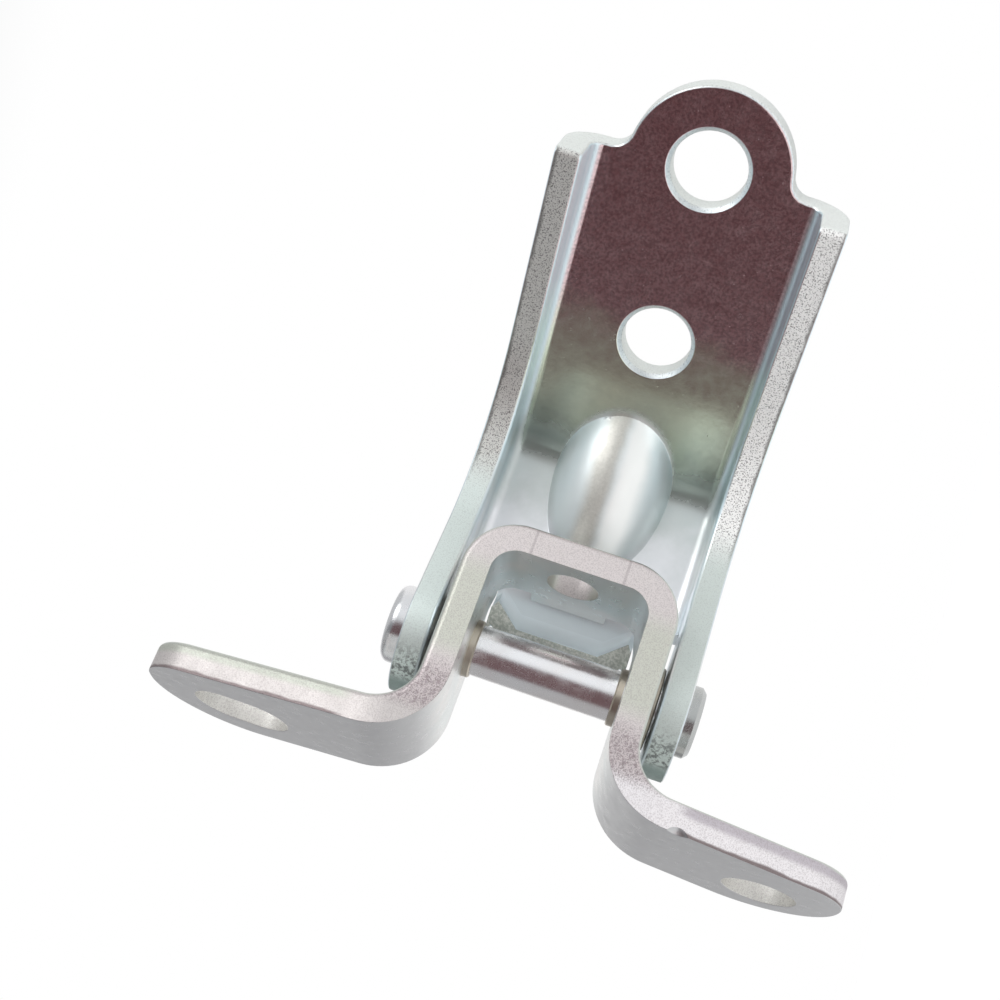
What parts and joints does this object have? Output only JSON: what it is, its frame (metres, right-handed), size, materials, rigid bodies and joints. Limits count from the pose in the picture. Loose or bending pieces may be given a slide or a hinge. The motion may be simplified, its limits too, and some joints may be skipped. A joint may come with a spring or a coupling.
{
  "type": "door hinge",
  "caption": "Pressed-steel vehicle door hinge: an omega bracket for the pillar and a flanged channel for the door, joined by a riveted pin turning in bushes.",
  "frame": {"origin": "middle of the body bracket's round bolt hole, on its mounting face", "axes": "+X out of the feet's mounting plane, through the U of the body bracket; +Z along the hinge pin towards its rounded head; +Y completes the frame. Upper and lower in the names mean high and low Z, and don't say which end is up on a car, because the picture doesn't show it."},
  "size_m": [0.1005, 0.063, 0.1077],
  "materials": {
    "body_plate": "bright zinc plate on pressed steel, rough on the cut edges",
    "door_plate": "bright zinc plate on pressed steel, rough on the cut edges",
    "pin_steel": "ground and zinc plated",
    "bush_metal": "dull bearing bronze"
  },
  "bodies": {
    "body_side": {"body_bracket": "body_plate", "bush_upper": "bush_metal", "bush_lower": "bush_metal"},
    "door_side": {"door_bracket": "door_plate", "hinge_pin": "pin_steel"}
  },
  "joints": [
    {"name": "door_swing", "type": "hinge", "parent": "body_side", "child": "door_side", "pos_m": [0.0204, -0.0031, 0.0401], "axis": [0, 0, -1], "range_deg": [-53.6, 7]}
  ]
}
